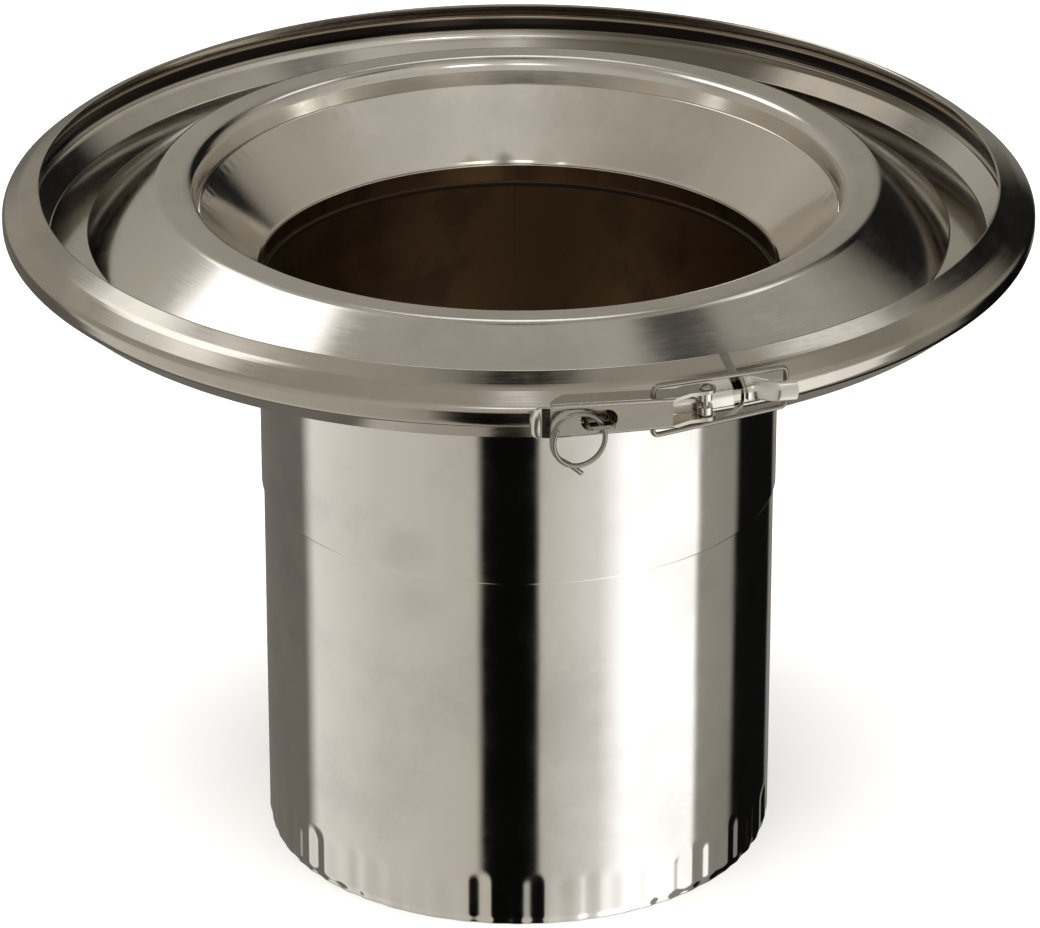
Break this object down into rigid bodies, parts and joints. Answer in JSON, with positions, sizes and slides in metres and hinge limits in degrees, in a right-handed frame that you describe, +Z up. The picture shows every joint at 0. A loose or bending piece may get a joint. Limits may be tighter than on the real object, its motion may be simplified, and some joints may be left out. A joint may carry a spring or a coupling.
{
  "type": "flue adaptor with locking band",
  "caption": "Stainless steel flue adaptor: a pressed ring plate with funnel and crimped spigot, clamped by a V-section locking band with an over-centre toggle latch and safety ring.",
  "frame": {"origin": "on the flue axis, in the plane of the spigot's crimped end", "axes": "+Z up the flue axis towards the ring plate; -Y is the front, where the latch's lever lies; +X to the right seen from the front"},
  "size_m": [0.2974, 0.3112, 0.2064],
  "materials": {
    "tube_steel": "bright rolled stainless steel with faint draw lines",
    "plate_steel": "spun stainless steel, satin with circular marks",
    "band_steel": "satin roll-formed stainless steel",
    "latch_steel": "tumbled stainless pressing",
    "wire_steel": "drawn stainless wire"
  },
  "bodies": {
    "adaptor": {"spigot_tube": "tube_steel", "collar_sleeve": "tube_steel", "funnel_cone": "plate_steel", "top_plate": "plate_steel", "locking_band": "band_steel", "gap_tongue": "band_steel", "lever_bracket": "latch_steel", "catch_hook": "latch_steel", "lever_pin": "latch_steel"},
    "lever": {"latch_lever": "latch_steel", "ring_staple": "wire_steel"},
    "bail": {"bail_wire": "wire_steel"},
    "ring": {"safety_ring": "wire_steel"}
  },
  "joints": [
    {"name": "lever_swing", "type": "hinge", "parent": "adaptor", "child": "lever", "pos_m": [0.04975, -0.14364, 0.1985], "axis": [0, 0, 1], "range_deg": [0, 95]},
    {"name": "bail_swing", "type": "hinge", "parent": "lever", "child": "bail", "pos_m": [0.03568, -0.14937, 0.1985], "axis": [0, 0, 1], "range_deg": [-70, 0]},
    {"name": "ring_swing", "type": "hinge", "parent": "lever", "child": "ring", "pos_m": [0.02206, -0.15675, 0.1979], "axis": [0, 0, 1], "range_deg": [0, 100]}
  ],
  "couplings": [
    {"joint": "bail_swing", "follows": "lever_swing", "ratio": -0.72}
  ]
}
